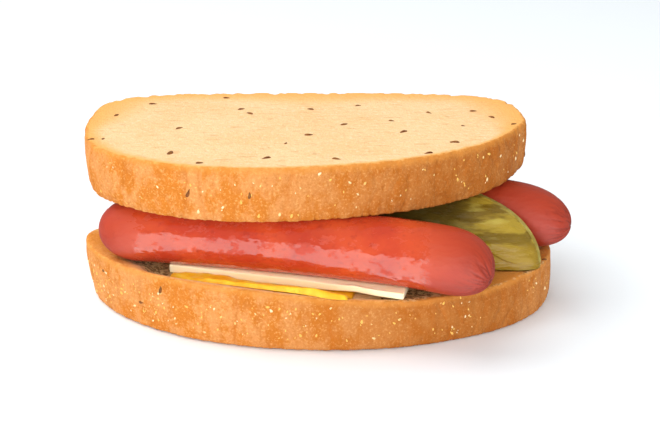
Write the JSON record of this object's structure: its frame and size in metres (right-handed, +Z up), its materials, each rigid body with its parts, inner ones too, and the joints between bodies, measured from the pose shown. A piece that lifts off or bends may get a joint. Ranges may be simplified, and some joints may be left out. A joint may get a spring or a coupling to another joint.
{
  "type": "hot dog sandwich",
  "caption": "Closed sandwich of seeded rye bread slices filled with hot dog sausages, a half pickle, a slice of cheese and mustard.",
  "frame": {"origin": "centre of the sandwich's bounding box at the flat underside of the bottom slice", "axes": "+X along the long side of the bread, towards the end where the sausage and pickle stand out; the open front with the cheese and mustard faces -Y; +Z up from the bottom slice to the top slice"},
  "size_m": [0.177, 0.108, 0.0619],
  "materials": {
    "rye_bread": "dry baked crust and open crumb",
    "sausage": "moist smooth skin",
    "pickle": "wet skin and cut flesh",
    "cheese": "soft satin",
    "mustard": "moist paste"
  },
  "bodies": {
    "root": {"bottom_bread": "rye_bread", "top_bread": "rye_bread", "mustard": "mustard", "cheese": "cheese", "sausage_front": "sausage", "sausage_back": "sausage", "pickle": "pickle"}
  },
  "joints": []
}
